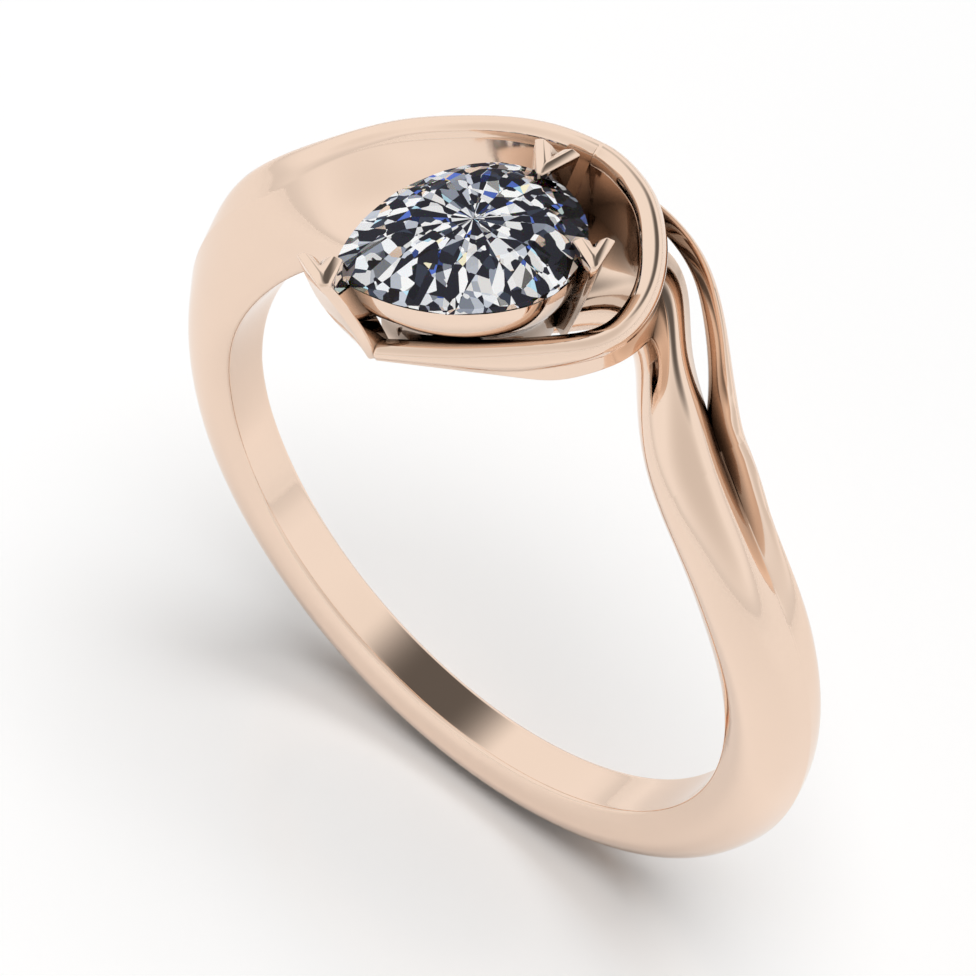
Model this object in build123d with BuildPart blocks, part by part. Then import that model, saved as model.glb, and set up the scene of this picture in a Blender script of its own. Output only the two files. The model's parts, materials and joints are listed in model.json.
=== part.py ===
from build123d import *
from math import atan2, cos, degrees, hypot, radians, sin
import os

os.makedirs("parts", exist_ok=True)

# An engagement ring: a pear-shaped brilliant in three claws, in a swirl made by the ring's own band.
# Millimetres. Origin: the centre of the finger bore. +Y runs along the finger, +Z points to the stone.
# Angles round the finger count from +X (0 degrees) through +Z (90, the stone) to -X (180) and -Z (270).

# ---- driving dimensions ----
inner_diameter = 17.3          # finger size
bore_radius = inner_diameter / 2
bore_margin = 0.3              # the bands are lofted this far into the bore, then the bore is cut true

stone_length = 6.25
stone_width = 4.6
round_radius = stone_width / 2
point_reach = stone_length - round_radius      # from the centre of the round end to the point
flank_radius = (point_reach * point_reach + round_radius * round_radius) / (2 * round_radius)
flank_turn = atan2(point_reach, flank_radius - round_radius)
stone_turn = 58.5              # the stone's long axis, counted from +X to +Y
stone_x = 0.03                 # centre of the stone's round end
stone_y = 0.27
culet_height = 9.75
girdle_bottom = 11.68
girdle_top = 11.84
table_height = 12.5
table_share = 0.56             # the table's size, as a share of the girdle's
bezel_turns = [0, 45, 90, 135, 180, 225, 270, 315]   # the main facets' directions, from the round end
star_reach = 0.83              # where the star facets run out, as a share of the girdle
star_height = 12.25
upper_reach = 0.78             # where the upper girdle facets run out
upper_height = 12.20
lower_dip = 0.30               # the lower girdle facets aim this far below the culet

# ---- stations ----
# A band station is (angle, front curve, back curve). The curves are points (y, h), h above the finger: the
# front one from the foot up to the crest or crease, the back one from there down to the other foot.
plain_front = [(-.66, 0), (-.92, .73), (-.62, 1.57), (0, 1.91)]
plain_back = [(0, 1.91), (.61, 1.56), (.90, .73), (.66, 0)]
shoulder_stations = [
    (180, plain_front, plain_back),
    (165, [(-.69, 0), (-.92, .70), (-.66, 1.56), (-.1, 2.10)],
     [(-.1, 2.10), (.60, 2.02), (.95, 1.10), (.80, 0)]),
    (152, [(-.52, 0), (-.72, .60), (-.58, 1.50), (-.15, 2.2)],
     [(-.15, 2.2), (.50, 2.42), (1.02, 1.5), (.97, 0)]),
    (141, [(-.20, 0), (-.36, .45), (-.38, 1.35), (-.1, 2.22)],
     [(-.1, 2.22), (.52, 2.75), (1.2, 1.9), (1.2, 0)]),
    (131, [(.03, 0), (-.06, .35), (-.02, 1.20), (.3, 2.30)],
     [(.3, 2.30), (.88, 2.92), (1.58, 2.1), (1.5, 0)]),
    (124, [(.08, 0), (0, .30), (.40, 1.22), (1.0, 2.50)],
     [(1.0, 2.50), (1.42, 2.98), (2.02, 2.2), (1.9, 0)]),
    (116, [(.10, 0), (.02, .30), (1.0, 1.18), (2.0, 2.60)],
     [(2.0, 2.60), (2.36, 3.01), (2.9, 2.3), (2.75, 0)]),
    (109, [(.10, 0), (.02, .30), (1.5, 1.18), (2.67, 2.63)],
     [(2.67, 2.63), (3.0, 3.03), (3.52, 2.35), (3.35, 0)]),
    (102, [(.10, 0), (.02, .30), (1.85, 1.15), (3.32, 2.65)],
     [(3.32, 2.65), (3.65, 3.03), (4.15, 2.4), (3.95, 0)]),
    (96, [(.10, 0), (.02, .30), (2.05, 1.12), (3.72, 2.66)],
     [(3.72, 2.66), (4.06, 3.03), (4.55, 2.4), (4.35, 0)]),
    (90, [(.10, 0), (.02, .30), (2.15, 1.10), (3.92, 2.67)],
     [(3.92, 2.67), (4.27, 3.03), (4.72, 2.4), (4.5, 0)]),
]
# Beyond 360 degrees the band goes on up the right side, to the fork at 410.
fork_front = [(-.06, 0), (-.46, .94), (.36, 1.86), (1.50, 1.16)]
shank_stations = [
    (180, plain_front, plain_back),
    (210, plain_front, plain_back),
    (240, plain_front, plain_back),
    (270, [(-.66, 0), (-.93, .75), (-.62, 1.60), (0, 1.94)],
     [(0, 1.94), (.62, 1.60), (.93, .75), (.66, 0)]),
    (300, [(-.66, 0), (-.94, .77), (-.61, 1.63), (.02, 1.97)],
     [(.02, 1.97), (.67, 1.62), (.98, .76), (.70, 0)]),
    (330, [(-.67, 0), (-.96, .81), (-.59, 1.70), (.07, 2.02)],
     [(.07, 2.02), (.78, 1.69), (1.12, .79), (.84, 0)]),
    (355, [(-.68, 0), (-.97, .84), (-.54, 1.75), (.15, 2.07)],
     [(.15, 2.07), (.86, 1.80), (1.22, .88), (.99, 0)]),
    (374, [(-.67, 0), (-.98, .86), (-.46, 1.79), (.30, 2.02)],
     [(.30, 2.02), (.87, 1.93), (1.28, 1.05), (1.12, 0)]),
    (388, [(-.61, 0), (-.96, .90), (-.30, 1.84), (.44, 1.82)],
     [(.44, 1.82), (.86, 2.02), (1.32, 1.2), (1.20, 0)]),
    (399, [(-.42, 0), (-.80, .92), (-.02, 1.86), (.82, 1.50)],
     [(.82, 1.50), (1.10, 1.98), (1.52, 1.3), (1.42, 0)]),
    (410, fork_front, [(1.50, 1.16), (1.72, 1.95), (2.11, 1.45), (1.98, 0)]),
]
front_strand_stations = [
    (50, fork_front, [(1.50, 1.16), (1.65, .4), (1.65, 0)]),
    (53, [(.12, 0), (-.26, .95), (.59, 1.85), (1.69, 1.16)], [(1.69, 1.16), (1.83, .4), (1.83, 0)]),
    (57, [(.45, 0), (.08, .95), (.98, 1.82), (2.02, 1.16)], [(2.02, 1.16), (2.16, .4), (2.16, 0)]),
    (64, [(1.33, 0), (1.05, .92), (1.75, 1.70), (2.78, 1.16)], [(2.78, 1.16), (2.95, .4), (2.95, 0)]),
    (70, [(2.12, 0), (1.95, .85), (2.70, 1.60), (3.75, 1.18)], [(3.75, 1.18), (3.90, .4), (3.90, 0)]),
    (75, [(1.75, 0), (1.60, .62), (2.90, 1.42), (4.22, 1.15)], [(4.22, 1.15), (4.36, .4), (4.36, 0)]),
    (80, [(.75, 0), (.64, .42), (2.50, 1.15), (4.32, 1.0)], [(4.32, 1.0), (4.43, .35), (4.43, 0)]),
    (90, [(.10, 0), (.02, .30), (1.90, .95), (4.10, .92)], [(4.10, .92), (4.22, .3), (4.22, 0)]),
]
# The thin back strand leaves the finger just above the fork.
back_strand_stations = [
    (50, [(1.62, .12), (1.54, .60), (1.50, 1.16)], [(1.50, 1.16), (1.72, 1.95), (2.11, 1.45), (1.98, .12)]),
    (54, [(1.86, .72), (1.81, .95), (1.80, 1.20)], [(1.80, 1.20), (2.08, 1.99), (2.46, 1.50), (2.36, .72)]),
    (58, [(2.36, 1.10), (2.30, 1.25), (2.29, 1.42)],
     [(2.29, 1.42), (2.56, 2.02), (2.91, 1.55), (2.80, 1.10)]),
    (62, [(2.94, 1.22), (2.89, 1.36), (2.88, 1.52)],
     [(2.88, 1.52), (3.12, 2.05), (3.42, 1.60), (3.32, 1.22)]),
    (66, [(3.48, 1.28), (3.44, 1.42), (3.43, 1.58)],
     [(3.43, 1.58), (3.64, 2.08), (3.91, 1.64), (3.82, 1.28)]),
    (70, [(3.94, 1.34), (3.90, 1.48), (3.89, 1.64)],
     [(3.89, 1.64), (4.06, 2.12), (4.28, 1.70), (4.20, 1.34)]),
    (75, [(4.24, 1.45), (4.20, 1.58), (4.19, 1.74)],
     [(4.19, 1.74), (4.33, 2.20), (4.52, 1.80), (4.45, 1.45)]),
    (80, [(4.28, 1.60), (4.24, 1.73), (4.23, 1.88)],
     [(4.23, 1.88), (4.37, 2.30), (4.56, 1.92), (4.49, 1.60)]),
    (85, [(4.16, 1.75), (4.12, 1.88), (4.11, 2.03)],
     [(4.11, 2.03), (4.26, 2.40), (4.48, 2.05), (4.41, 1.75)]),
]
# The swirl wall stands behind the stone, goes round its round end, and comes down in front of it as a bar. A
# station is (crest point, height, inner width, inner drop, bead's bulge, and the depths of the bead's belly and
# of its lower edge).
swirl_stations = [
    ((0, 4.27, 11.68), 3.2, .35, .36, .45, .63, 2.8),
    ((1.05, 4.17, 11.67), 3.2, .40, .30, .41, .60, 2.3),
    ((1.83, 3.88, 11.63), 3.1, .42, .26, .35, .57, 1.8),
    ((2.53, 3.38, 11.55), 3.1, .43, .22, .29, .52, 1.35),
    ((3.12, 2.76, 11.41), 2.7, .44, .19, .24, .47, 1.05),
    ((3.56, 2.03, 11.22), 2.0, .44, .17, .20, .40, .82),
    ((3.76, 1.33, 11.06), 1.5, .44, .15, .18, .34, .68),
    ((3.72, .66, 10.90), 1.25, .43, .14, .18, .32, .62),
    ((3.38, .08, 10.73), 1.2, .41, .13, .19, .34, .64),
    ((2.76, -.43, 10.54), 1.3, .38, .13, .21, .38, .74),
    ((2.0, -.95, 10.33), 1.13, .35, .12, .23, .42, .82),
    ((.6, -1.83, 9.97), .76, .31, .11, .24, .34, .60),
    ((-1.06, -2.775, 9.625), .54, .27, .10, .22, .24, .42),
]
bar_start = 10                 # the station at which the wall ends and the bar begins
bead_edge = 0.60               # where the bead's lower edge lies, as a share of its bulge
wall_foot = 0.45               # where the wall under it ends, likewise
# A collet station is (height, size as a share of the stone's outline): a bowl on a narrower foot.
collet_stations = [(8.95, .42), (9.70, .50), (10.1, .76), (10.7, .89), (11.6, .99)]
collet_wall = 0.40
# A claw is three stations from the foot to the top: the height, and the corners (x, y) at its left, at the two
# ends of its narrow front, and at its right.
claws = {
    "tip_claw": [
        (9.20, [(-1.38, -2.72), (-1.07, -2.94), (-1.00, -2.75), (-1.32, -2.45)]),
        (10.8, [(-2.09, -3.30), (-1.30, -3.53), (-1.23, -3.33), (-1.68, -2.66)]),
        (12.30, [(-2.80, -3.40), (-1.74, -3.90), (-1.62, -3.72), (-1.93, -2.84)]),
    ],
    "rear_claw": [
        (9.55, [(-.72, 2.32), (-.38, 1.90), (-.30, 1.90), (-.22, 2.42)]),
        (10.9, [(-.86, 2.75), (-.32, 2.06), (-.22, 2.06), (-.10, 2.88)]),
        (12.35, [(-.94, 3.10), (-.22, 2.21), (-.09, 2.22), (.08, 3.28)]),
    ],
    "side_claw": [
        (8.95, [(1.32, .98), (1.82, .78), (1.92, .82), (1.72, 1.33)]),
        (10.6, [(1.58, 1.05), (2.34, .74), (2.46, .80), (2.18, 1.60)]),
        (12.35, [(1.84, 1.08), (2.78, .70), (2.90, .80), (2.65, 1.79)]),
    ],
}
dip_margin = 0.20              # the dip in a claw's top starts this far from its left and right corners
dip_front = 0.32               # and this far behind its front
dip_depth = 0.42


def radial_plane(angle):
    """Plane through the finger's axis: local x is the distance from it, local y runs along the finger."""
    turn = radians(angle)
    return Plane(origin=(0, 0, 0), x_dir=(cos(turn), 0, sin(turn)), z_dir=(-sin(turn), 0, cos(turn)))


def closed_section(plane, *curves):
    """Face with one edge for each list of points; the curves join end to end."""
    with BuildLine(plane) as outline:
        edges = [Line(*points) if len(points) == 2 else Spline(*points) for points in curves]
    return Face(Wire([piece.edge() for piece in edges]))


def band_section(angle, front, back):
    """Section of a band on the finger: its feet reach into the bore, which is cut true afterwards."""
    inside = bore_radius - bore_margin
    front_foot = (inside, front[0][0])
    back_foot = (inside, back[-1][0])
    front_points = [front_foot] + [(bore_radius + h, y) for y, h in front]
    back_points = [(bore_radius + h, y) for y, h in back] + [back_foot]
    return closed_section(radial_plane(angle), front_points, back_points, [back_foot, front_foot])


def raised_section(angle, front, back):
    """Section of a strand that stands off the finger."""
    front_points = [(bore_radius + h, y) for y, h in front]
    back_points = [(bore_radius + h, y) for y, h in back]
    return closed_section(radial_plane(angle), front_points, back_points, [back_points[-1], front_points[0]])


def cut_bore():
    Cylinder(bore_radius, 4 * bore_radius, rotation=(90, 0, 0), mode=Mode.SUBTRACT)


def swirl_section(index):
    """Section of the swirl wall, square to its crest line: a bead on top of a thinner wall."""
    crest, height, inner, drop, bulge, belly, bead = swirl_stations[index]
    before = swirl_stations[max(index - 1, 0)][0]
    after = swirl_stations[min(index + 1, len(swirl_stations) - 1)][0]
    along = (after[0] - before[0], after[1] - before[1]) if index else (1, 0)
    plane = Plane(origin=crest, x_dir=(-along[1], along[0], 0), z_dir=(along[0], along[1], 0))
    inner_foot = (-inner, -height)
    inner_corner = (-inner, -drop)
    lower_edge = (bead_edge * bulge, -bead)
    outer_foot = (wall_foot * bulge, -height)
    bead_curve = [(0, 0), (bulge, -belly), lower_edge]
    return closed_section(plane, [inner_foot, inner_corner], [inner_corner, (0, 0)], bead_curve,
                          [lower_edge, outer_foot], [outer_foot, inner_foot])


def stone_outline(height, share=1.0):
    """The stone's pear outline at a height: a half circle and two long arcs that meet in its point."""
    turn = radians(stone_turn)
    plane = Plane(origin=(stone_x, stone_y, height), x_dir=(cos(turn), sin(turn), 0))
    middle = flank_turn / 2
    bend_x = -flank_radius * sin(middle)
    bend_y = round_radius - flank_radius + flank_radius * cos(middle)
    with BuildSketch(plane) as outline:
        with BuildLine():
            ThreePointArc((0, -round_radius), (round_radius, 0), (0, round_radius))
            ThreePointArc((0, round_radius), (bend_x, bend_y), (-point_reach, 0))
            ThreePointArc((-point_reach, 0), (bend_x, -bend_y), (0, -round_radius))
        make_face()
        if share != 1:
            scale(by=share)
    return outline.sketch


def support(angle):
    """Distance from the centre of the stone's round end to its outline's tangent square to this way out."""
    turn = abs((angle + 180) % 360 - 180)
    if turn <= 90:
        return round_radius
    if turn <= 90 + degrees(flank_turn):
        return flank_radius - (flank_radius - round_radius) * sin(radians(turn))
    return -point_reach * cos(radians(turn))


def facet(angle, near, near_height, far, far_height):
    """Cutting plane that faces this way round the stone, through two lines given as distance and height."""
    turn = radians(stone_turn + angle)
    out = (cos(turn), sin(turn))
    upright = far_height > near_height
    run = near - far
    rise = far_height - near_height
    normal = Vector(out[0] * abs(rise), out[1] * abs(rise), run if upright else -run)
    return Plane(origin=(stone_x + out[0] * near, stone_y + out[1] * near, near_height), z_dir=normal)


def flat_face(corners, height):
    """Level face with these corners."""
    with BuildSketch(Plane.XY.offset(height)) as face:
        with BuildLine():
            Polyline(*corners, close=True)
        make_face()
    return face.sketch


def toward(start, end, distance):
    """The point at this distance from start on the way to end."""
    share = distance / hypot(end[0] - start[0], end[1] - start[1])
    return (start[0] + share * (end[0] - start[0]), start[1] + share * (end[1] - start[1]))


def halfway(start, end):
    return ((start[0] + end[0]) / 2, (start[1] + end[1]) / 2)


def cut_dip(height, corners):
    """The three-sided dip in a claw's top: its floor falls to the front, between two raised arms."""
    left, front_left, front_right, right = corners
    front = toward(halfway(front_left, front_right), halfway(left, right), dip_front)
    mouth = flat_face([toward(left, right, dip_margin), front, toward(right, left, dip_margin)], height)
    loft(sections=[mouth, Vertex(*front, height - dip_depth)], mode=Mode.SUBTRACT)


def crown_facets():
    """Bezel, star and upper girdle facets of the crown, as cutting planes."""
    planes = []
    for turn in bezel_turns:
        reach = support(turn)
        planes.append(facet(turn, reach, girdle_top, reach * table_share, table_height))
    for turn in between(bezel_turns, .5):
        reach = support(turn)
        planes.append(facet(turn, reach * star_reach, star_height, reach * table_share, table_height))
    for turn in between(bezel_turns, .27) + between(bezel_turns, .73):
        reach = support(turn)
        planes.append(facet(turn, reach, girdle_top, reach * upper_reach, upper_height))
    return planes


def pavilion_facets():
    """Main and lower girdle facets of the pavilion, as cutting planes."""
    planes = []
    for turn in bezel_turns:
        planes.append(facet(turn, support(turn), girdle_bottom, 0, culet_height))
    for turn in between(bezel_turns, .27) + between(bezel_turns, .73):
        planes.append(facet(turn, support(turn), girdle_bottom, 0, culet_height - lower_dip))
    return planes


def between(turns, share):
    """Directions part of the way from each direction to the next, once round."""
    following = turns[1:] + [turns[0] + 360]
    return [turn + share * (later - turn) for turn, later in zip(turns, following)]


# ---- the pieces ----
with BuildPart() as diamond:
    add(stone_outline(culet_height))
    extrude(amount=table_height - culet_height, dir=(0, 0, 1))
    for cut in crown_facets() + pavilion_facets():
        split(bisect_by=cut, keep=Keep.BOTTOM)
diamond.part.label = "diamond"
export_step(diamond.part, "parts/diamond.step")

claw_parts = {}
for name, stations in claws.items():
    with BuildPart() as claw:
        loft(sections=[flat_face(corners, height) for height, corners in stations])
        cut_dip(*stations[-1])
        add(diamond.part, mode=Mode.SUBTRACT)
    claw.part.label = name
    export_step(claw.part, f"parts/{name}.step")
    claw_parts[name] = claw.part

with BuildPart() as collet:
    wall_share = collet_wall / round_radius
    loft(sections=[stone_outline(height, share) for height, share in collet_stations])
    inner_faces = [stone_outline(height, share - wall_share) for height, share in collet_stations]
    loft(sections=inner_faces, mode=Mode.SUBTRACT)
    for piece in [diamond.part, *claw_parts.values()]:
        add(piece, mode=Mode.SUBTRACT)
collet.part.label = "collet"
export_step(collet.part, "parts/collet.step")

with BuildPart() as swirl_rail:
    swirl_sections = [swirl_section(index) for index in range(len(swirl_stations))]
    loft(sections=swirl_sections[:bar_start + 1])
    loft(sections=swirl_sections[bar_start:])
    add(claw_parts["tip_claw"], mode=Mode.SUBTRACT)
    cut_bore()
swirl_rail.part.label = "swirl_rail"
export_step(swirl_rail.part, "parts/swirl_rail.step")

with BuildPart() as shoulder:
    loft(sections=[band_section(*station) for station in shoulder_stations])
    cut_bore()
    for piece in (collet.part, claw_parts["rear_claw"]):
        add(piece, mode=Mode.SUBTRACT)
shoulder.part.label = "shoulder"
export_step(shoulder.part, "parts/shoulder.step")

with BuildPart() as front_strand:
    loft(sections=[band_section(*station) for station in front_strand_stations])
    cut_bore()
    for piece in (collet.part, claw_parts["side_claw"], swirl_rail.part):
        add(piece, mode=Mode.SUBTRACT)
front_strand.part.label = "front_strand"
export_step(front_strand.part, "parts/front_strand.step")

with BuildPart() as back_strand:
    loft(sections=[raised_section(*station) for station in back_strand_stations])
    for piece in (swirl_rail.part, front_strand.part):
        add(piece, mode=Mode.SUBTRACT)
back_strand.part.label = "back_strand"
export_step(back_strand.part, "parts/back_strand.step")

with BuildPart() as shank:
    loft(sections=[band_section(*station) for station in shank_stations])
    cut_bore()
shank.part.label = "shank"
export_step(shank.part, "parts/shank.step")
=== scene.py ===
import json
from math import atan2, cos, pi, radians, sin

import bmesh
import bpy
import numpy as np
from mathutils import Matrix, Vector


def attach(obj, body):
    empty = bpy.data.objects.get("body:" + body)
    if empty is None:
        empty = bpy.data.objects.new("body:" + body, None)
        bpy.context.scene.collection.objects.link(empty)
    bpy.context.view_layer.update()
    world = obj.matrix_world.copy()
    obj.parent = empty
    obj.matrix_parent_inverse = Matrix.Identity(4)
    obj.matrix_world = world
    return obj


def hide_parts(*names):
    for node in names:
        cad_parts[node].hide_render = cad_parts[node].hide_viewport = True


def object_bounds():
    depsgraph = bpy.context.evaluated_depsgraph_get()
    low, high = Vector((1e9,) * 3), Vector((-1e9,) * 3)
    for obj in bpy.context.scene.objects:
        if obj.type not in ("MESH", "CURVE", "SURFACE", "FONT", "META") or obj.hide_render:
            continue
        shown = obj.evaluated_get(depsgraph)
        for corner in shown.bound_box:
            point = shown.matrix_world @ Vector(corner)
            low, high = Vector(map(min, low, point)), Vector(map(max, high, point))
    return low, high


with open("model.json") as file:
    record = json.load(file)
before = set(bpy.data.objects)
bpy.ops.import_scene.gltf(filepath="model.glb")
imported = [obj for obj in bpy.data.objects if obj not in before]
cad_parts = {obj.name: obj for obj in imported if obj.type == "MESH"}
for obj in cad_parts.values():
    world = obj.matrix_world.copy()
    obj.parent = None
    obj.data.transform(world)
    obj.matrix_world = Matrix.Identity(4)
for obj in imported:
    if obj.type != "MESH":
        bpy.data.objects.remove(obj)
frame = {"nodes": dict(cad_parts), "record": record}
cad_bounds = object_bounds()

# Lengths are in millimetres, as in the part's own source, and become metres when a mesh or a node is made.
# Angles round the finger count from +X (0 degrees) through +Z (90, the stone) to -X (180) and -Z (270).
MM = 0.001
BORE = next(m for m in frame["record"]["mounts"] if m["name"] == "finger_bore")["dims"]["r_mm"]

# ---- sizes of the bands ----
BORE_ROUNDING = 0.09           # along a band's edges at the finger
CREST_ROUNDING = 0.05          # where its front and back curves meet
CURVE_POINTS = 34              # points on its front curve, and as many on its back curve
FOOT_POINTS = 12               # points on its face towards the finger
CORNER_POINTS = 5              # points that round each corner of an outline
RIMMED = 6                     # the shoulder's first stations, whose back curves go over its rolled rim

# ---- sizes of the swirl ----
SWIRL_ROUNDING = [.06, .06, .05, .06]      # at the start of its inside, top, wall under the bead, and foot
SWIRL_POINTS = [12, 44, 12, 8]             # points on each of them
SWIRL_SPAN = 10                # sections from one station to the next
RIM_INNER = (.7, .45)          # a point of the top inside the crest, as shares of the inner width and drop
BEAD_EDGE = 0.60               # where the bead's lower edge lies, as a share of its bulge
WALL_FOOT = 0.45               # where the wall under it ends, likewise
SEAM_REACH = 0.20              # how far its hidden start reaches into the shoulder
SEAM_SIZE = 0.94               # size of that start, as a share of the first section
TIP_REACH = 0.10               # reach of the rounding at the end of its bar
TIP_STEPS = 8                  # steps in that rounding

# ---- sizes of the setting ----
STONE_LENGTH = 6.25
STONE_WIDTH = 4.6
STONE_TURN = 58.5              # the stone's long axis, counted from +X to +Y
STONE_X = 0.03                 # centre of the stone's round end
STONE_Y = 0.27
COLLET_WALL = 0.40
COLLET_RINGS = 30
CLAW_RINGS = 12                # sections of a claw's column
CLAW_ARM = 0.44                # width of each of the two arms of a claw's top
CLAW_RIDGE = 0.13              # height of their ridges over their edges
CLAW_FRONT = 0.6               # height of the ridge where the arms meet, as a share of theirs
CLAW_PARTING = 1.5             # how far behind the front the arms part, in widths of an arm
CLAW_DIP = 0.26                # depth of the valley between them
CLAW_DEEPEST = 0.25            # how far behind their parting it is that deep, in widths of an arm
CLAW_NOTCH = 0.7               # its depth at the back, as a share
CLAW_EDGE = 15                 # edges that turn more than this many degrees are rounded
CLAW_ROUNDING = 0.06
CLAW_ROUNDING_STEPS = 4

# ---- stations ----
# A band station is (angle, front curve, back curve). The curves are points (y, h), h above the finger: the
# front one from the foot up to the crest or crease, and the back one on from there down to the other foot.
PLAIN = (180, [(-.67, 0), (-.92, .70), (-.62, 1.54), (0, 1.87)], [(.60, 1.55), (.88, .72), (.67, 0)])
FORK_FRONT = [(-.06, 0), (-.46, .94), (.36, 1.86), (1.50, 1.16)]
FORK_BACK = [(1.72, 1.95), (2.12, 1.45), (1.98, 0)]
SHOULDER = [
    (90, [(.10, 0), (.02, .30), (2.15, 1.10), (3.92, 2.67)],
     [(4.02, 2.87), (4.27, 3.03), (4.72, 2.4), (4.5, 0)]),
    (96, [(.10, 0), (.02, .30), (2.05, 1.12), (3.72, 2.66)],
     [(3.81, 2.88), (4.06, 3.03), (4.55, 2.4), (4.35, 0)]),
    (102, [(.10, 0), (.02, .30), (1.85, 1.15), (3.32, 2.65)],
     [(3.40, 2.89), (3.65, 3.03), (4.15, 2.4), (3.95, 0)]),
    (109, [(.10, 0), (.02, .30), (1.5, 1.18), (2.67, 2.63)],
     [(2.72, 2.88), (3.0, 3.03), (3.52, 2.35), (3.35, 0)]),
    (116, [(.10, 0), (.02, .30), (1.0, 1.18), (2.0, 2.60)],
     [(2.07, 2.85), (2.36, 3.01), (2.9, 2.3), (2.75, 0)]),
    (124, [(.08, 0), (0, .30), (.40, 1.22), (1.0, 2.50)],
     [(1.12, 2.84), (1.42, 2.98), (2.02, 2.2), (1.9, 0)]),
    (131, [(.03, 0), (-.06, .35), (-.02, 1.20), (.3, 2.30)],
     [(.88, 2.92), (1.58, 2.1), (1.5, 0)]),
    (141, [(-.20, 0), (-.36, .45), (-.38, 1.35), (-.1, 2.22)],
     [(.52, 2.75), (1.2, 1.9), (1.2, 0)]),
    (152, [(-.52, 0), (-.72, .60), (-.58, 1.50), (-.15, 2.2)],
     [(.50, 2.42), (1.02, 1.5), (.97, 0)]),
    (165, [(-.69, 0), (-.92, .70), (-.66, 1.56), (-.1, 2.10)],
     [(.60, 2.02), (.95, 1.10), (.80, 0)]),
    PLAIN,
]
SHANK = [
    PLAIN,
    (198, [(-.66, 0), (-.92, .71), (-.62, 1.55), (0, 1.89)], [(.61, 1.56), (.90, .72), (.66, 0)]),
    (222, [(-.66, 0), (-.92, .73), (-.62, 1.57), (0, 1.92)], [(.62, 1.57), (.92, .73), (.66, 0)]),
    (246, [(-.66, 0), (-.92, .74), (-.62, 1.59), (0, 1.94)], [(.62, 1.59), (.92, .74), (.66, 0)]),
    (270, [(-.66, 0), (-.93, .75), (-.62, 1.60), (0, 1.94)], [(.62, 1.60), (.93, .75), (.66, 0)]),
    (294, [(-.66, 0), (-.94, .77), (-.61, 1.64), (.02, 1.97)], [(.67, 1.62), (.98, .76), (.70, 0)]),
    (318, [(-.67, 0), (-.95, .80), (-.60, 1.68), (.05, 2.0)], [(.73, 1.66), (1.06, .78), (.77, 0)]),
    (340, [(-.67, 0), (-.96, .82), (-.58, 1.71), (.10, 2.04)], [(.83, 1.72), (1.17, .80), (.90, 0)]),
    (358, [(-.68, 0), (-.97, .84), (-.54, 1.75), (.16, 2.07)], [(.88, 1.82), (1.25, .90), (1.02, 0)]),
    (374, [(-.67, 0), (-.98, .86), (-.46, 1.79), (.30, 2.02)], [(.87, 1.93), (1.28, 1.05), (1.12, 0)]),
    (388, [(-.61, 0), (-.96, .90), (-.30, 1.84), (.44, 1.82)], [(.86, 2.02), (1.32, 1.2), (1.20, 0)]),
    (399, [(-.42, 0), (-.80, .92), (-.02, 1.86), (.82, 1.50)], [(1.10, 1.98), (1.52, 1.3), (1.42, 0)]),
    (410, FORK_FRONT, FORK_BACK),
]
FRONT_STRAND = [
    (50, FORK_FRONT, [(1.62, .80), (1.65, .4), (1.65, 0)]),
    (57, [(.45, 0), (.08, .95), (.98, 1.82), (2.02, 1.16)], [(2.14, .80), (2.16, .4), (2.16, 0)]),
    (64, [(1.33, 0), (1.05, .92), (1.75, 1.70), (2.78, 1.16)], [(2.92, .80), (2.95, .4), (2.95, 0)]),
    (70, [(2.12, 0), (1.95, .85), (2.70, 1.60), (3.75, 1.18)], [(3.88, .80), (3.90, .4), (3.90, 0)]),
    (75, [(2.10, 0), (1.95, .65), (2.95, 1.42), (4.22, 1.15)], [(4.34, .80), (4.36, .4), (4.36, 0)]),
    (80, [(1.15, 0), (1.05, .45), (2.60, 1.15), (4.32, 1.0)], [(4.42, .70), (4.43, .35), (4.43, 0)]),
    (85, [(.40, 0), (.30, .32), (2.10, 1.0), (4.20, .93)], [(4.32, .65), (4.34, .3), (4.34, 0)]),
    (90, [(.10, 0), (.02, .30), (1.90, .95), (4.10, .92)], [(4.20, .65), (4.22, .3), (4.22, 0)]),
]
# The thin back strand leaves the finger just above the fork.
BACK_STRAND = [
    (50, [(1.62, 0), (1.54, .60), (1.50, 1.16)], FORK_BACK),
    (54, [(1.86, .72), (1.81, .95), (1.80, 1.20)], [(2.08, 1.99), (2.46, 1.50), (2.36, .72)]),
    (58, [(2.36, 1.10), (2.30, 1.25), (2.29, 1.42)], [(2.56, 2.02), (2.91, 1.55), (2.80, 1.10)]),
    (62, [(2.94, 1.22), (2.89, 1.36), (2.88, 1.52)], [(3.12, 2.05), (3.42, 1.60), (3.32, 1.22)]),
    (66, [(3.48, 1.28), (3.44, 1.42), (3.43, 1.58)], [(3.64, 2.08), (3.91, 1.64), (3.82, 1.28)]),
    (70, [(3.94, 1.34), (3.90, 1.48), (3.89, 1.64)], [(4.06, 2.12), (4.28, 1.70), (4.20, 1.34)]),
    (75, [(4.24, 1.45), (4.20, 1.58), (4.19, 1.74)], [(4.33, 2.20), (4.52, 1.80), (4.45, 1.45)]),
    (80, [(4.28, 1.60), (4.24, 1.73), (4.23, 1.88)], [(4.37, 2.30), (4.56, 1.92), (4.49, 1.60)]),
    (85, [(4.16, 1.75), (4.12, 1.88), (4.11, 2.03)], [(4.26, 2.40), (4.48, 2.05), (4.41, 1.75)]),
]
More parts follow.
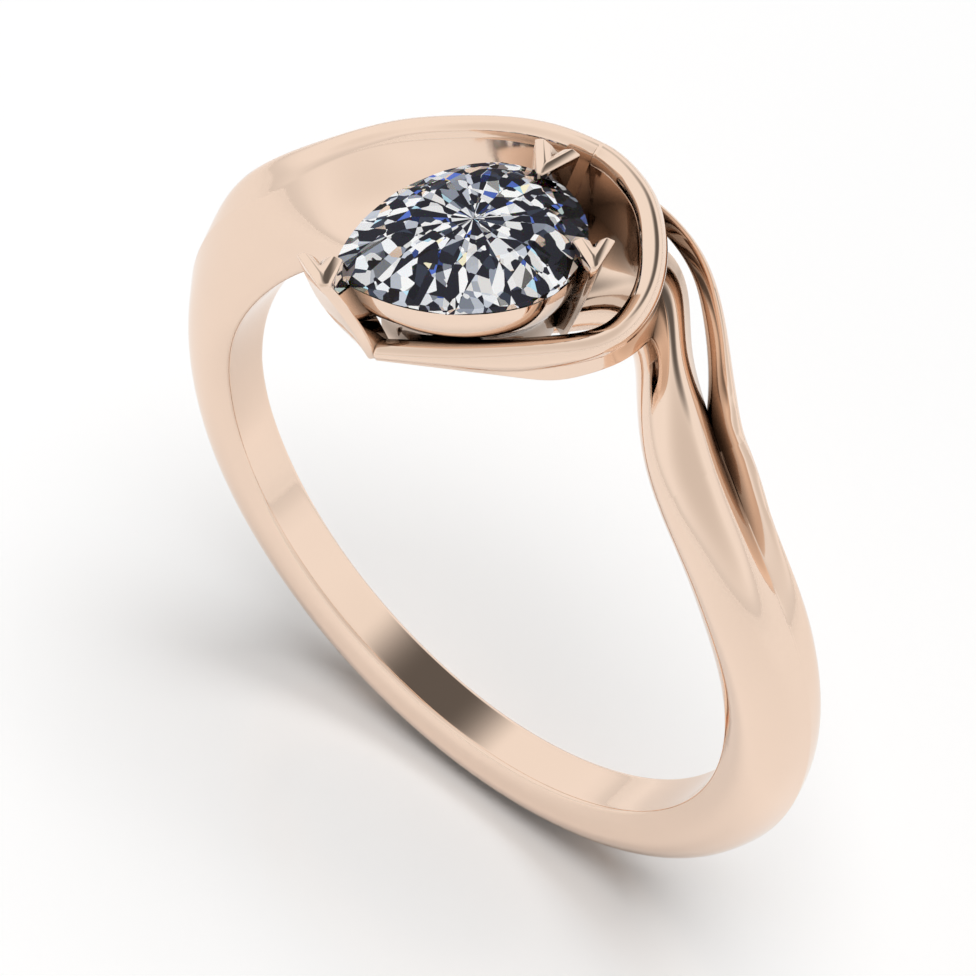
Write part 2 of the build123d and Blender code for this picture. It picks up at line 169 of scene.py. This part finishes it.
# The swirl wall stands behind the stone, goes round its round end, and comes down in front of it as a bar.
# A station is (crest point, height, inner width, inner drop, bulge of its bead, depth of the bead's belly,
# depth of the bead's lower edge).
SWIRL = [
    ((0, 4.27, 11.68), 3.02, .35, .36, .45, .63, 2.8),
    ((1.05, 4.17, 11.67), 3.0, .40, .30, .41, .60, 2.3),
    ((1.83, 3.88, 11.63), 3.0, .42, .26, .35, .57, 1.8),
    ((2.53, 3.38, 11.55), 3.0, .43, .22, .29, .52, 1.35),
    ((3.12, 2.76, 11.41), 2.7, .44, .19, .24, .47, 1.05),
    ((3.56, 2.03, 11.22), 2.0, .44, .17, .20, .40, .82),
    ((3.76, 1.33, 11.06), 1.5, .44, .15, .18, .34, .68),
    ((3.72, .66, 10.90), 1.25, .43, .14, .18, .32, .62),
    ((3.38, .08, 10.73), 1.2, .41, .13, .19, .34, .64),
    ((2.76, -.43, 10.54), 1.3, .38, .13, .21, .38, .74),
    ((2.0, -.95, 10.33), 1.13, .35, .12, .23, .42, .82),
    ((.6, -1.83, 9.97), .76, .31, .11, .24, .34, .60),
    ((-1.0, -2.74, 9.64), .54, .27, .10, .22, .24, .42),
]
# A collet station is (height, size as a share of the stone's outline).
COLLET = [(8.95, .70), (9.6, .71), (9.97, .73), (10.4, .85), (10.9, .945), (11.6, .99)]
# A claw is three stations from the foot to the top: the height, and the corners (x, y) at its left, at the
# two ends of its narrow front, and at its right.
CLAWS = {
    "tip_claw": [
        (9.12, [(-1.44, -2.76), (-1.12, -2.94), (-1.00, -2.80), (-.98, -2.20)]),
        (10.8, [(-2.20, -3.42), (-1.26, -3.46), (-1.08, -3.28), (-1.30, -2.62)]),
        (12.30, [(-2.90, -3.50), (-1.78, -3.96), (-1.62, -3.76), (-1.93, -2.90)]),
    ],
    "rear_claw": [
        (9.55, [(-.72, 2.32), (-.38, 1.90), (-.30, 1.90), (-.22, 2.42)]),
        (10.9, [(-.90, 2.72), (-.32, 2.05), (-.20, 2.05), (-.02, 2.94)]),
        (12.35, [(-1.00, 3.04), (-.22, 2.19), (-.07, 2.20), (.22, 3.38)]),
    ],
    "side_claw": [
        (8.95, [(1.32, .98), (1.82, .78), (1.92, .82), (1.72, 1.33)]),
        (10.6, [(1.58, 1.05), (2.34, .74), (2.46, .80), (2.18, 1.60)]),
        (12.35, [(1.84, 1.08), (2.78, .70), (2.90, .80), (2.65, 1.79)]),
    ],
}


# ---- curves ----
def natural_spline(at, values, start=None):
    """Cubic spline through values of any shape at rising parameters; start is the slope there, if given."""
    at = np.asarray(at, float)
    values = np.asarray(values, float)
    count = len(at)
    gap = np.diff(at)
    shape = (-1,) + (1,) * (values.ndim - 1)
    slopes = np.diff(values, axis=0) / gap.reshape(shape)
    system = np.zeros((count, count))
    target = np.zeros(values.shape)
    system[0, 0] = 2
    system[-1, -1] = 2
    if start is not None:
        system[0, :2] = 2 * gap[0], gap[0]
        target[0] = 6 * (slopes[0] - start)
    for i in range(1, count - 1):
        system[i, i - 1:i + 2] = gap[i - 1], 2 * (gap[i - 1] + gap[i]), gap[i]
        target[i] = 6 * (slopes[i] - slopes[i - 1])
    bend = np.linalg.solve(system, target.reshape(count, -1)).reshape(values.shape)

    def evaluate(where):
        where = np.atleast_1d(where)
        i = np.clip(np.searchsorted(at, where, side="right") - 1, 0, count - 2)
        width = gap[i].reshape(shape)
        left = (at[i + 1] - where).reshape(shape)
        right = (where - at[i]).reshape(shape)
        cubic = (bend[i] * left ** 3 + bend[i + 1] * right ** 3) / (6 * width)
        from_left = values[i] / width - bend[i] * width / 6
        from_right = values[i + 1] / width - bend[i + 1] * width / 6
        return cubic + from_left * left + from_right * right

    return evaluate


def unit(vector):
    return vector / np.linalg.norm(vector)


def arc_lengths(points):
    return np.r_[0, np.cumsum(np.linalg.norm(np.diff(points, axis=0), axis=1))]


def smooth_curve(points, count=60):
    """Dense polyline of a spline through a few points, spaced by chord length."""
    points = np.asarray(points, float)
    at = arc_lengths(points)
    return natural_spline(at, points)(np.linspace(0, at[-1], count))


def trimmed(points, start, end, count):
    """The polyline without its first and last lengths, resampled evenly."""
    at = arc_lengths(points)
    where = np.linspace(start, at[-1] - end, count)
    return np.column_stack([np.interp(where, at, column) for column in points.T])


def rounded_outline(curves, radii, counts):
    """Closed outline of curves that meet end to end, rounded there; radii[i] is at the start of curve i."""
    dense = [smooth_curve(points) for points in curves]
    ends = radii[1:] + radii[:1]
    pieces = [trimmed(*piece) for piece in zip(dense, radii, ends, counts)]
    t = np.linspace(0, 1, CORNER_POINTS + 2)[1:-1, None]
    outline = []
    for i, piece in enumerate(pieces):
        corner = dense[i][-1]
        following = pieces[(i + 1) % len(pieces)][0]
        outline.append(piece)
        outline.append((1 - t) ** 2 * piece[-1] + 2 * t * (1 - t) * corner + t ** 2 * following)
    return np.vstack(outline)


# ---- meshes ----
def new_mesh(name, points, faces, shaping, sharp_angle):
    """Mesh of points in millimetres, shaped by a function on its bmesh, and smooth except at sharp edges."""
    mesh = bpy.data.meshes.new(name)
    mesh.from_pydata((points * MM).tolist(), [], faces)
    shape = bmesh.new()
    shape.from_mesh(mesh)
    shaping(shape)
    shape.to_mesh(mesh)
    shape.free()
    mesh.shade_smooth()
    mesh.set_sharp_from_angle(angle=radians(sharp_angle))
    return mesh


def turn_outward(shape):
    if shape.calc_volume(signed=True) < 0:
        bmesh.ops.reverse_faces(shape, faces=shape.faces)


def grid_mesh(name, grid, looped=False):
    """Mesh of a grid (ring, point, xyz) with flat ends; if it is looped, the last ring joins the first."""
    rings, around, _ = grid.shape
    faces = []
    for i in range(rings if looped else rings - 1):
        ring = i * around
        following = (i + 1) % rings * around
        for j in range(around):
            k = (j + 1) % around
            faces.append((ring + j, ring + k, following + k, following + j))
    if not looped:
        first_ring = range(around)
        last_ring = range((rings - 1) * around, rings * around)
        faces.append(tuple(reversed(first_ring)))
        faces.append(tuple(last_ring))
    return new_mesh(name, grid.reshape(-1, 3), faces, turn_outward, sharp_angle=38)


def at_height(outline, z):
    return np.column_stack([outline, np.full(len(outline), float(z))])


# ---- bands ----
def band_outline(front, back):
    over = [front[-1]] + back
    foot = [back[-1], front[0]]
    radii = [BORE_ROUNDING, CREST_ROUNDING, BORE_ROUNDING]
    return rounded_outline([front, over, foot], radii, [CURVE_POINTS, CURVE_POINTS, FOOT_POINTS])


def on_finger(angle, outline):
    """Points (y, h) of a section at an angle round the finger, as x, y, z."""
    reach = BORE + outline[:, 1]
    return np.column_stack([reach * cos(radians(angle)), outline[:, 0], reach * sin(radians(angle))])


def turned(stations, angle):
    """The same stations, an angle further round the finger."""
    return [(station[0] + angle, *station[1:]) for station in stations]


def band_grid(stations, step, front_run=None, back_run=None):
    """Sections a step (degrees) apart; front and back can follow a longer run of stations, past a seam."""
    first = stations[0][0]
    last = stations[-1][0]
    where = np.linspace(first, last, round((last - first) / step) + 1)

    def along(run):
        outlines = np.array([band_outline(front, back) for _, front, back in run])
        return natural_spline([station[0] for station in run], outlines)(where)

    outlines = along(stations)
    # Front and back meet in the middle of the crest's rounding. The front takes the whole rounding of its
    # foot along, and the back only the start of its own.
    half_corner = CORNER_POINTS // 2
    if front_run:
        longer = along(front_run)
        crest = CURVE_POINTS + half_corner
        foot = CORNER_POINTS + half_corner
        outlines[:, :crest] = longer[:, :crest]
        outlines[:, -foot:] = longer[:, -foot:]
    if back_run:
        crest = CURVE_POINTS + CORNER_POINTS - half_corner
        foot = 2 * CURVE_POINTS + CORNER_POINTS + half_corner
        outlines[:, crest:foot] = along(back_run)[:, crest:foot]
    outlines[:, :, 1] = np.maximum(outlines[:, :, 1], 0)      # nothing reaches into the bore
    return np.array([on_finger(angle, outline) for angle, outline in zip(where, outlines)])


# ---- swirl ----
def swirl_outline(height, inner, drop, bulge, belly, bead):
    """Outward and upward from the crest: the inside, the top with its bead, the wall under it, the foot."""
    bead_edge = (bulge * BEAD_EDGE, -bead)
    inside = [(-inner, -height), (-inner, -drop)]
    top = [(-inner, -drop), (-inner * RIM_INNER[0], -drop * RIM_INNER[1]), (0, 0), (bulge, -belly), bead_edge]
    wall = [bead_edge, (bulge * WALL_FOOT, -height)]
    foot = [wall[-1], inside[0]]
    return rounded_outline([inside, top, wall, foot], SWIRL_ROUNDING, SWIRL_POINTS)


def crest_slope(step=.5):
    """Direction in which the shoulder's crest, its highest line, reaches the swirl's first station."""
    nearest = SHOULDER[:RIMMED]
    angles = [station[0] for station in nearest]
    crests = np.array([max(station[2], key=lambda point: point[1]) for station in nearest], float)
    y, h = (natural_spline(angles, crests)(angles[0] + step)[0] - crests[0]) / radians(step)
    return unit(np.array([BORE + crests[0][1], -y, -h]))


def swirl_grid():
    """Upright sections along the crests' path, a smaller hidden one in the shoulder, and a rounded end."""
    crests = np.array([station[0] for station in SWIRL], float)
    at = arc_lengths(crests)
    path = natural_spline(at, crests, start=crest_slope())
    outlines = natural_spline(at, np.array([swirl_outline(*station[1:]) for station in SWIRL]))
    where = np.linspace(0, at[-1], SWIRL_SPAN * (len(at) - 1) + 1)
    step = 1e-3
    headings = path(np.minimum(where + step, at[-1])) - path(np.maximum(where - step, 0))
    upward = np.array([0, 0, 1.])
    rings = []
    for point, heading, outline in zip(path(where), headings, outlines(where)):
        outward = unit(np.array([-heading[1], heading[0], 0]))
        rings.append(point + outline[:, :1] * outward + outline[:, 1:] * upward)
    middle = rings[0].mean(axis=0)
    rings.insert(0, middle + SEAM_SIZE * (rings[0] - middle) - SEAM_REACH * crest_slope())
    last = rings[-1]
    middle = last.mean(axis=0)
    onward = unit(np.array([*headings[-1][:2], 0]))
    for turn in np.linspace(0, pi / 2, TIP_STEPS + 1)[1:-1]:
        rings.append(middle + cos(turn) * (last - middle) + TIP_REACH * sin(turn) * onward)
    return np.array(rings)


# ---- collet ----
def pear(share=1.0, count=96):
    """The stone's outline from above: a half circle and two long arcs that meet in its point."""
    radius = STONE_WIDTH / 2
    point = STONE_LENGTH - radius
    flank = (point ** 2 + radius ** 2) / (2 * radius)
    turn = np.linspace(-pi / 2, pi / 2, count // 2, endpoint=False)
    end = np.column_stack([radius * np.cos(turn), radius * np.sin(turn)])
    swing = np.linspace(0, atan2(point, flank - radius), count // 4, endpoint=False)
    side = np.column_stack([-flank * np.sin(swing), radius - flank + flank * np.cos(swing)])
    other_side = (side * [1, -1])[::-1][:-1]
    along, across = np.vstack([end, side, [(-point, 0)], other_side]).T * share
    turn_x = cos(radians(STONE_TURN))
    turn_y = sin(radians(STONE_TURN))
    x = STONE_X + turn_x * along - turn_y * across
    y = STONE_Y + turn_y * along + turn_x * across
    return np.column_stack([x, y])


def collet_grid():
    """Rings up the collet's outside and down its inside; the last one joins the first."""
    heights, shares = np.array(COLLET).T
    levels = np.linspace(heights[0], heights[-1], COLLET_RINGS)
    wall = COLLET_WALL / (STONE_WIDTH / 2)
    outside = []
    inside = []
    for z, share in zip(levels, natural_spline(heights, shares)(levels)):
        outside.append(at_height(pear(share), z))
        inside.append(at_height(pear(share - wall), z))
    return np.array(outside + inside[::-1])


# ---- claws ----
def claw_top(left, front_left, front_right, right):
    """Points over a claw's last section: its arms' ridges, their inner edges, and the valley between them."""
    front = (front_left + front_right) / 2
    back = (left + right) / 2
    across = unit(right - left)
    inward = unit(back - front)
    upward = np.array([0, 0, 1.])
    inner_left = left + CLAW_ARM * across
    inner_right = right - CLAW_ARM * across
    inner_front = front + CLAW_PARTING * CLAW_ARM * inward
    ridge_left = (left + inner_left) / 2 + CLAW_RIDGE * upward
    ridge_right = (right + inner_right) / 2 + CLAW_RIDGE * upward
    ridge_front = (front + inner_front) / 2 + CLAW_FRONT * CLAW_RIDGE * upward
    valley = inner_front + CLAW_DEEPEST * CLAW_ARM * inward - CLAW_DIP * upward
    notch = back - CLAW_NOTCH * CLAW_DIP * upward
    return [ridge_left, ridge_right, ridge_front, inner_left, inner_right, inner_front, valley, notch]


def claw_faces(rings):
    """Faces by point number: four points to a ring from the foot up, then the eight of claw_top."""
    top = 4 * (rings - 1)
    left, front_left, front_right, right = range(top, top + 4)
    ridge_left, ridge_right, ridge_front = range(top + 4, top + 7)
    inner_left, inner_right, inner_front, valley, notch = range(top + 7, top + 12)
    faces = [(3, 2, 1, 0)]
    for i in range(rings - 1):
        sides = 4 if i < rings - 2 else 3      # the last back side ends in the notch
        for j in range(sides):
            k = (j + 1) % 4
            faces.append((4 * i + j, 4 * i + k, 4 * i + 4 + k, 4 * i + 4 + j))
    return faces + [
        (left, front_left, ridge_front, ridge_left),
        (front_left, front_right, ridge_front),
        (front_right, right, ridge_right, ridge_front),
        (ridge_left, ridge_front, inner_front, inner_left),
        (ridge_front, ridge_right, inner_right, inner_front),
        (inner_left, inner_front, valley, notch),
        (inner_front, inner_right, notch, valley),
        (left, ridge_left, inner_left),
        (right, inner_right, ridge_right),
        (top - 1, top - 4, left, inner_left, notch, inner_right, right),
    ]


def round_claw(shape):
    bmesh.ops.recalc_face_normals(shape, faces=shape.faces)
    edges = [edge for edge in shape.edges if edge.calc_face_angle(0) > radians(CLAW_EDGE)]
    bmesh.ops.bevel(shape, geom=edges, offset=CLAW_ROUNDING * MM, segments=CLAW_ROUNDING_STEPS, profile=.5,
                    affect="EDGES", clamp_overlap=True)


def claw_mesh(name, stations):
    """A four-sided column; its top is two ridged arms like leaves, with a valley between them."""
    heights = [height for height, _ in stations]
    corners = natural_spline(heights, np.array([corner for _, corner in stations], float))
    levels = np.linspace(heights[0], heights[-1] - CLAW_RIDGE, CLAW_RINGS)
    rings = [at_height(corners(z)[0], z) for z in levels]
    points = np.vstack(rings + [claw_top(*rings[-1])])
    return new_mesh(name, points, claw_faces(CLAW_RINGS), round_claw, sharp_angle=50)


# ---- nodes ----
NOISE_RANGE = (.3, .7)         # most of a noise texture's values lie between these


def add_node(tree, kind, inputs, output, **settings):
    """Output of a new node; its inputs are set to numbers, vectors or colours, or linked to other outputs."""
    node = tree.nodes.new("ShaderNode" + kind)
    for setting, value in settings.items():
        setattr(node, setting, value)
    for socket, value in inputs.items():
        if isinstance(value, bpy.types.NodeSocket):
            tree.links.new(value, node.inputs[socket])
        else:
            node.inputs[socket].default_value = value
    return node.outputs[output]


def number_math(tree, operation, first, second):
    return add_node(tree, "Math", {0: first, 1: second}, "Value", operation=operation)


def vector_math(tree, operation, *vectors, output="Vector"):
    return add_node(tree, "VectorMath", dict(enumerate(vectors)), output, operation=operation)


def noise(tree, scale, detail, stretch=(1, 1, 1)):
    """Noise in the object's own coordinates, scale cells to a metre, drawn out where its stretch is small."""
    place = add_node(tree, "TexCoord", {}, "Object")
    drawn_out = add_node(tree, "Mapping", {"Vector": place, "Scale": stretch}, "Vector")
    return add_node(tree, "TexNoise", {"Vector": drawn_out, "Scale": scale, "Detail": detail}, "Fac")


def ranged(tree, value, before, after, interpolation="LINEAR"):
    """A value's range (low, high) turned into another."""
    ends = {"From Min": before[0], "From Max": before[1], "To Min": after[0], "To Max": after[1]}
    return add_node(tree, "MapRange", {"Value": value, **ends}, "Result", interpolation_type=interpolation)


def mixed(tree, factor, first, second):
    """Colour between two colours; each is four numbers or another node's output."""
    # A Mix node's colour sockets are its inputs 6 and 7 and its output 2.
    return add_node(tree, "Mix", {"Factor": factor, 6: first, 7: second}, 2, data_type="RGBA")


def ramp(tree, value, stops, interpolation="LINEAR"):
    """Colour that goes through stops (position, colour) as a value rises from 0 to 1."""
    colour = add_node(tree, "ValToRGB", {"Fac": value}, "Color")
    marks = colour.node.color_ramp
    marks.interpolation = interpolation
    marks.elements.remove(marks.elements[1])
    marks.elements[0].position, marks.elements[0].color = stops[0]
    for position, shade in stops[1:]:
        marks.elements.new(position).color = shade
    return colour


def bump(tree, height, strength, depth):
    return add_node(tree, "Bump", {"Height": height, "Strength": strength, "Distance": depth * MM}, "Normal")


# ---- gold ----
GOLD = (.90, .70, .565)
WORN = 0.97                    # brightness of its worn patches, as a share
PAINTED_RECESS_SHADE = 0.14                  # brightness of the painted shade in its deepest recesses, likewise
PAINTED_SHADE_DARKEST_AT = 0.12             # openness at which that painted shade is darkest


def dimmed(colour, share):
    return (*(share * channel for channel in colour), 1)


def new_material(name):
    material = bpy.data.materials.new(name)
    material.use_nodes = True
    return material, material.node_tree, material.node_tree.nodes["Principled BSDF"]


def rose_gold(name, gloss_range, reach, open_from):
    """Polished gold: uneven gloss from buffing, hairlines along the finger, painted shade in recesses."""
    material, tree, shader = new_material(name)
    wear = noise(tree, scale=700, detail=4)
    # A point is as open as the share of directions in which nothing lies within reach of it.
    openness = add_node(tree, "AmbientOcclusion", {"Distance": reach * MM}, "AO")
    openness = ranged(tree, openness, (PAINTED_SHADE_DARKEST_AT, open_from), (0, 1))
    polished = mixed(tree, wear, dimmed(GOLD, 1), dimmed(GOLD, WORN))
    hairlines = noise(tree, scale=9000, detail=2, stretch=(1, .04, 1))
    shader.inputs["Metallic"].default_value = 1
    # Painted shade: where ambient occlusion finds other surfaces within reach, the gold's colour darkens
    # towards its deepest recess brightness.
    tree.links.new(mixed(tree, openness, dimmed(GOLD, PAINTED_RECESS_SHADE), polished), shader.inputs["Base Color"])
    tree.links.new(ranged(tree, wear, NOISE_RANGE, gloss_range), shader.inputs["Roughness"])
    tree.links.new(bump(tree, hairlines, strength=.05, depth=.002), shader.inputs["Normal"])
    return material


# ---- diamond ----
# Refractive index for red, green and blue light.
DISPERSION = [((1, 0, 0, 1), 2.40), ((0, 1, 0, 1), 2.42), ((0, 0, 1, 1), 2.45)]
FLASH_SHARE = 0.92             # of what the stone shows, for the painted flashes; the glass shows the rest
FLASH_TILT = 1.7               # spread of the flashes' tilts, along each axis
FLASH_CENTRE = (STONE_X - .25, STONE_Y - .40)
FLASHES_AROUND = 3.6           # shards to a radian round that centre
FLASHES_OUTWARD = 1300         # shards to a metre away from it
# A pattern that crosses the shards is (cells to a metre along x, y and z, its turn, its measure of distance).
CROSSINGS = [
    ((2300, 1300, 1000), 0, "EUCLIDEAN"),
    ((1500, 2600, 1200), 35, "MANHATTAN"),
]
# Painted tints of the flashes, dark, white, blue and yellow, each from its position up to the next one's.
PAINTED_FLASH_TINTS = [
    (0, (.02, .02, .03, 1)),
    (.40, (1, 1, 1, 1)),
    (.50, (.05, .06, .09, 1)),
    (.57, (.30, .33, .40, 1)),
    (.63, (1, 1, 1, 1)),
    (.72, (.10, .18, .62, 1)),
    (.76, (.62, .66, .74, 1)),
    (.84, (.55, .85, 1, 1)),
    (.865, (1, .93, .66, 1)),
    (.875, (.95, .97, 1, 1)),
]


def cells(tree, where, measure="EUCLIDEAN"):
    """A random colour for each cell of a pattern, one unit wide."""
    return add_node(tree, "TexVoronoi", {"Vector": where, "Scale": 1}, "Color", distance=measure)


def shards(tree):
    """A random colour for each shard where three patterns overlap; the first radiates from a centre."""
    place = add_node(tree, "TexCoord", {}, "Object")
    from_centre = vector_math(tree, "SUBTRACT", place, (FLASH_CENTRE[0] * MM, FLASH_CENTRE[1] * MM, 0))
    x = add_node(tree, "SeparateXYZ", {0: from_centre}, "X")
    turn = number_math(tree, "ARCTAN2", x.node.outputs["Y"], x)
    reach = vector_math(tree, "LENGTH", from_centre, output="Value")
    around = number_math(tree, "MULTIPLY", turn, FLASHES_AROUND)
    outward = number_math(tree, "MULTIPLY", reach, FLASHES_OUTWARD)
    total = cells(tree, add_node(tree, "CombineXYZ", {"X": around, "Y": outward}, "Vector"))
    for density, turn_angle, measure in CROSSINGS:
        rotation = (0, 0, radians(STONE_TURN + turn_angle))
        mapping = {"Vector": place, "Scale": density, "Rotation": rotation}
        crossing = add_node(tree, "Mapping", mapping, "Vector")
        total = vector_math(tree, "ADD", total, cells(tree, crossing, measure))
    return vector_math(tree, "FRACTION", total)


def clear_stone(tree):
    """Polished glass with a refractive index for each of red, green and blue."""
    polish = noise(tree, scale=1500, detail=3)
    gloss = ranged(tree, polish, NOISE_RANGE, (0, .006))
    normal = bump(tree, polish, strength=.01, depth=.001)
    layers = []
    for colour, index in DISPERSION:
        layer = {"Color": colour, "IOR": index, "Roughness": gloss, "Normal": normal}
        layers.append(add_node(tree, "BsdfGlass", layer, "BSDF"))
    red, green, blue = layers
    red_and_green = add_node(tree, "AddShader", {0: red, 1: green}, "Shader")
    return add_node(tree, "AddShader", {0: red_and_green, 1: blue}, "Shader")


def flashes(tree):
    """Painted flashes: small mirrors tilted shard by shard, reflecting the studio, each with a painted tint.
    """
    shard = shards(tree)
    tilt = vector_math(tree, "MULTIPLY_ADD", shard, (FLASH_TILT,) * 3, (-FLASH_TILT / 2,) * 3)
    facing = add_node(tree, "NewGeometry", {}, "Normal")
    normal = vector_math(tree, "NORMALIZE", vector_math(tree, "ADD", facing, tilt))
    # The painted tint makes each shard's reflection dark, white or a fire colour.
    painted_tint = ramp(tree, add_node(tree, "SeparateColor", {"Color": shard}, "Red"), PAINTED_FLASH_TINTS, "CONSTANT")
    return add_node(tree, "BsdfGlossy", {"Color": painted_tint, "Roughness": .02, "Normal": normal}, "BSDF")


def diamond_material():
    """Diamond: clear glass, and over it a mosaic of painted facet flashes."""
    material, tree, shader = new_material("diamond")
    tree.nodes.remove(shader)
    layers = {"Fac": FLASH_SHARE, 1: clear_stone(tree), 2: flashes(tree)}
    surface = add_node(tree, "MixShader", layers, "Shader")
    tree.links.new(surface, tree.nodes["Material Output"].inputs["Surface"])
    return material


# ---- the ring ----
def add_piece(name, mesh, node, material):
    piece = bpy.data.objects.new(name, mesh)
    bpy.context.scene.collection.objects.link(piece)
    mesh.materials.append(material)
    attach(piece, "root")
    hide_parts(node)


def make_bands():
    """The shank, the shoulder and both strands, whose faces run on from one to the next."""
    gold = rose_gold("rose_gold", (.05, .09), reach=1.3, open_from=.62)
    front_strand = turned(FRONT_STRAND, 360)
    back_strand = turned(BACK_STRAND, 360)
    whole_front = SHOULDER + SHANK[1:] + front_strand[1:]
    whole_back = SHOULDER + SHANK[1:] + back_strand[1:]
    bands = [
        ("shank", "shank_band", band_grid(SHANK, 2, whole_front, whole_back)),
        ("shoulder", "shoulder_scoop", band_grid(SHOULDER, 1, whole_front, whole_back)),
        ("front_strand", "front_strand_band", band_grid(front_strand, 1, front_run=whole_front)),
        ("back_strand", "back_strand_rail", band_grid(back_strand, .5, back_run=whole_back)),
    ]
    for node, name, grid in bands:
        add_piece(name, grid_mesh(name, grid), node, gold)


def make_swirl():
    gold = rose_gold("swirl_gold", (.05, .09), reach=2.8, open_from=.56)
    add_piece("swirl_wall", grid_mesh("swirl_wall", swirl_grid()), "swirl_rail", gold)


def make_setting():
    """The collet and the three claws."""
    gold = rose_gold("setting_gold", (.04, .08), reach=3.2, open_from=.88)
    cup = grid_mesh("collet_cup", collet_grid(), looped=True)
    add_piece("collet_cup", cup, "collet", gold)
    for claw, stations in CLAWS.items():
        name = claw + "_column"
        add_piece(name, claw_mesh(name, stations), claw, gold)


def finish_stone():
    """The stone keeps its CAD solid and gets a better material."""
    stone = frame["nodes"]["diamond"]
    stone.data.materials.clear()
    stone.data.materials.append(diamond_material())


# ---- stage ----
FLOOR_REACH = 600              # from its middle to each side
FLOOR_WHITE = (.98, .98, .98, 1)
FLOOR_LIFT = 0.05              # glow of the floor towards the camera alone, so that it meets a white backdrop
# Colours of the studio, from the horizon (0) to overhead (1).
STUDIO = [
    (0, (.80, .80, .80, 1)),
    (.05, (.84, .84, .84, 1)),
    (.12, (.94, .94, .94, 1)),
    (.22, (.99, .99, .99, 1)),
    (1, (.99, .99, .98, 1)),
]
# A flag is (direction, cosine of the angle at its soft edge, the same at its core, colour): a grey one above
# the front of the ring, and a dark one above its back.
FLAGS = [
    ((.40, -.47, .79), .50, 1.0, (.74, .72, .70, 1)),
    ((-.02, .465, .885), .855, .99, (.13, .125, .12, 1)),
]
FILL = 0.14                    # strength of the studio where it is neither seen, mirrored nor refracted
KEY_ENERGY = 2.74              # with the fill, lights a white floor at about 1
KEY_ANGLE = 48                 # how wide the light is, in degrees, for a soft shadow
KEY_DIRECTION = (.15, .08, 1)  # towards the light
CAMERA_PLACE = (38.078, -43.340, 75.678)
CAMERA_AZIMUTH = 41.2          # from the front towards the right
CAMERA_ELEVATION = 51.85
CAMERA_LENS = 133


def make_floor():
    """White, slightly glossy floor, so that it keeps the ring's shadow and a faint reflection of it."""
    reach = FLOOR_REACH * MM
    low = cad_bounds[0][2]
    mesh = bpy.data.meshes.new("floor")
    corners = [(-reach, -reach, low), (reach, -reach, low), (reach, reach, low), (-reach, reach, low)]
    mesh.from_pydata(corners, [], [(0, 1, 2, 3)])
    floor = bpy.data.objects.new("floor", mesh)
    bpy.context.scene.collection.objects.link(floor)
    material, tree, shader = new_material("floor")
    shader.inputs["Base Color"].default_value = FLOOR_WHITE
    shader.inputs["Roughness"].default_value = .12
    shader.inputs["IOR"].default_value = 1.5
    shader.inputs["Emission Color"].default_value = (1, 1, 1, 1)
    seen = add_node(tree, "LightPath", {}, "Is Camera Ray")
    tree.links.new(number_math(tree, "MULTIPLY", seen, FLOOR_LIFT), shader.inputs["Emission Strength"])
    mesh.materials.append(material)


def make_world():
    """Soft studio, bright overhead, darker at the horizon, with two flags; the camera itself sees white."""
    world = bpy.data.worlds.new("studio")
    bpy.context.scene.world = world
    world.use_nodes = True
    tree = world.node_tree
    direction = add_node(tree, "TexCoord", {}, "Generated")
    colour = ramp(tree, add_node(tree, "SeparateXYZ", {0: direction}, "Z"), STUDIO)
    for flag_direction, edge, core, flag_colour in FLAGS:
        toward = vector_math(tree, "DOT_PRODUCT", direction, flag_direction, output="Value")
        colour = mixed(tree, ranged(tree, toward, (edge, core), (0, 1), "SMOOTHSTEP"), colour, flag_colour)
    ray = tree.nodes.new("ShaderNodeLightPath").outputs
    colour = mixed(tree, ray["Is Camera Ray"], colour, (1, 1, 1, 1))
    seen = number_math(tree, "MAXIMUM", ray["Is Camera Ray"], ray["Is Glossy Ray"])
    seen = number_math(tree, "MAXIMUM", seen, ray["Is Transmission Ray"])
    background = tree.nodes["Background"]
    tree.links.new(colour, background.inputs["Color"])
    tree.links.new(ranged(tree, seen, (0, 1), (FILL, 1)), background.inputs["Strength"])


def make_key_light():
    """A very large soft light overhead, so that the shadow is dark only near where the ring stands."""
    data = bpy.data.lights.new("key", "SUN")
    data.energy = KEY_ENERGY
    data.angle = radians(KEY_ANGLE)
    lamp = bpy.data.objects.new("key", data)
    bpy.context.scene.collection.objects.link(lamp)
    lamp.rotation_euler = Vector(KEY_DIRECTION).to_track_quat("Z", "Y").to_euler()
    lamp.visible_glossy = False


def make_camera():
    """The camera looks from the right of front, from above, with a long lens."""
    azimuth = radians(CAMERA_AZIMUTH)
    elevation = radians(CAMERA_ELEVATION)
    back = Vector((sin(azimuth) * cos(elevation), -cos(azimuth) * cos(elevation), sin(elevation)))
    data = bpy.data.cameras.new("camera")
    data.lens = CAMERA_LENS
    data.sensor_width = 36
    data.clip_start = 1 * MM
    camera = bpy.data.objects.new("camera", data)
    bpy.context.scene.collection.objects.link(camera)
    camera.location = Vector(CAMERA_PLACE) * MM
    camera.rotation_euler = (-back).to_track_quat("-Z", "Y").to_euler()
    bpy.context.scene.camera = camera


make_bands()
make_swirl()
make_setting()
finish_stone()
make_floor()
make_world()
make_key_light()
make_camera()
bpy.context.scene.view_settings.view_transform = "Standard"
